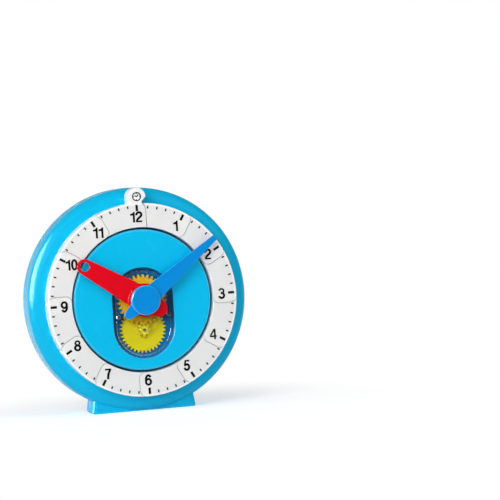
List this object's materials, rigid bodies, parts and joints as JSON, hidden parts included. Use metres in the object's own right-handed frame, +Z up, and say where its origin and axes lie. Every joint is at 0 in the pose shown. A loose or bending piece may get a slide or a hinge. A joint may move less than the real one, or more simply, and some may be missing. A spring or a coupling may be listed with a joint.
{
  "type": "geared teaching clock",
  "caption": "Round plastic teaching clock on a low foot, with geared hour and minute hands, a window onto the gears, and a hinged number line that opens at the top.",
  "frame": {"origin": "middle of the flat sole of the foot, on the surface that the clock stands on", "axes": "+Z up, the dial faces -Y, +X to the right as seen from the front"},
  "size_m": [0.254, 0.0707, 0.2544],
  "materials": {
    "sky_blue_plastic": "glossy moulded, plain",
    "navy_plastic": "glossy moulded, plain",
    "white_plastic": "satin moulded, printed face",
    "red_plastic": "glossy moulded, plain",
    "royal_blue_plastic": "glossy moulded, plain",
    "yellow_plastic": "satin moulded, plain",
    "clear_lens": "clear polished plastic",
    "steel": "zinc-plated, satin"
  },
  "bodies": {
    "clock_body": {"front_housing": "sky_blue_plastic", "rear_cover": "sky_blue_plastic", "balance_weight": "steel", "weight_screws": "steel", "number_line_tray": "navy_plastic", "gear_frame": "navy_plastic", "centre_disc": "sky_blue_plastic", "window_lens": "clear_lens", "lens_screws": "steel", "disc_screws": "steel", "tray_screws": "steel", "cover_screws": "steel", "idler_axle": "steel", "segment_06_front": "white_plastic", "segment_06_back": "white_plastic"},
    "minute_works": {"minute_shaft": "steel", "minute_pinion": "yellow_plastic", "shaft_clip": "steel", "minute_hand": "royal_blue_plastic", "hub_washer": "steel", "hub_screw": "steel", "hub_cap": "royal_blue_plastic"},
    "idler_works": {"idler_gear": "yellow_plastic"},
    "hour_works": {"hour_wheel": "yellow_plastic", "hour_hand": "red_plastic"},
    "segment_01": {"segment_01_front": "white_plastic", "segment_01_back": "white_plastic"},
    "segment_02": {"segment_02_front": "white_plastic", "segment_02_back": "white_plastic"},
    "segment_03": {"segment_03_front": "white_plastic", "segment_03_back": "white_plastic"},
    "segment_04": {"segment_04_front": "white_plastic", "segment_04_back": "white_plastic"},
    "segment_05": {"segment_05_front": "white_plastic", "segment_05_back": "white_plastic"},
    "segment_07": {"segment_07_front": "white_plastic", "segment_07_back": "white_plastic"},
    "segment_08": {"segment_08_front": "white_plastic", "segment_08_back": "white_plastic"},
    "segment_09": {"segment_09_front": "white_plastic", "segment_09_back": "white_plastic"},
    "segment_10": {"segment_10_front": "white_plastic", "segment_10_back": "white_plastic"},
    "segment_11": {"segment_11_front": "white_plastic", "segment_11_back": "white_plastic"},
    "segment_12": {"segment_12_front": "white_plastic", "segment_12_back": "white_plastic"}
  },
  "joints": [
    {"name": "minute_turn", "type": "hinge", "parent": "clock_body", "child": "minute_works", "pos_m": [0, -0.0406, 0.1274], "axis": [0, 1, 0], "continuous": true},
    {"name": "idler_turn", "type": "hinge", "parent": "clock_body", "child": "idler_works", "pos_m": [0, -0.0326, 0.0934], "axis": [0, 1, 0], "continuous": true},
    {"name": "hour_turn", "type": "hinge", "parent": "clock_body", "child": "hour_works", "pos_m": [0, -0.0406, 0.1274], "axis": [0, 1, 0], "continuous": true},
    {"name": "hinge_05", "type": "hinge", "parent": "clock_body", "child": "segment_05", "pos_m": [0.05065, -0.032, 0.03967], "axis": [0, 1, 0], "range_deg": [0, 30]},
    {"name": "hinge_04", "type": "hinge", "parent": "segment_05", "child": "segment_04", "pos_m": [0.08773, -0.032, 0.07675], "axis": [0, 1, 0], "range_deg": [0, 30]},
    {"name": "hinge_03", "type": "hinge", "parent": "segment_04", "child": "segment_03", "pos_m": [0.1013, -0.032, 0.1274], "axis": [0, 1, 0], "range_deg": [0, 30]},
    {"name": "hinge_02", "type": "hinge", "parent": "segment_03", "child": "segment_02", "pos_m": [0.08773, -0.032, 0.17805], "axis": [0, 1, 0], "range_deg": [0, 30]},
    {"name": "hinge_01", "type": "hinge", "parent": "segment_02", "child": "segment_01", "pos_m": [0.05065, -0.032, 0.21513], "axis": [0, 1, 0], "range_deg": [0, 30]},
    {"name": "hinge_06", "type": "hinge", "parent": "clock_body", "child": "segment_07", "pos_m": [0, -0.032, 0.0261], "axis": [0, -1, 0], "range_deg": [0, 30]},
    {"name": "hinge_07", "type": "hinge", "parent": "segment_07", "child": "segment_08", "pos_m": [-0.05065, -0.032, 0.03967], "axis": [0, -1, 0], "range_deg": [0, 30]},
    {"name": "hinge_08", "type": "hinge", "parent": "segment_08", "child": "segment_09", "pos_m": [-0.08773, -0.032, 0.07675], "axis": [0, -1, 0], "range_deg": [0, 30]},
    {"name": "hinge_09", "type": "hinge", "parent": "segment_09", "child": "segment_10", "pos_m": [-0.1013, -0.032, 0.1274], "axis": [0, -1, 0], "range_deg": [0, 30]},
    {"name": "hinge_10", "type": "hinge", "parent": "segment_10", "child": "segment_11", "pos_m": [-0.08773, -0.032, 0.17805], "axis": [0, -1, 0], "range_deg": [0, 30]},
    {"name": "hinge_11", "type": "hinge", "parent": "segment_11", "child": "segment_12", "pos_m": [-0.05065, -0.032, 0.21513], "axis": [0, -1, 0], "range_deg": [0, 30]}
  ],
  "couplings": [
    {"joint": "idler_turn", "follows": "minute_turn", "ratio": -0.33333},
    {"joint": "hour_turn", "follows": "minute_turn", "ratio": 0.083333}
  ]
}
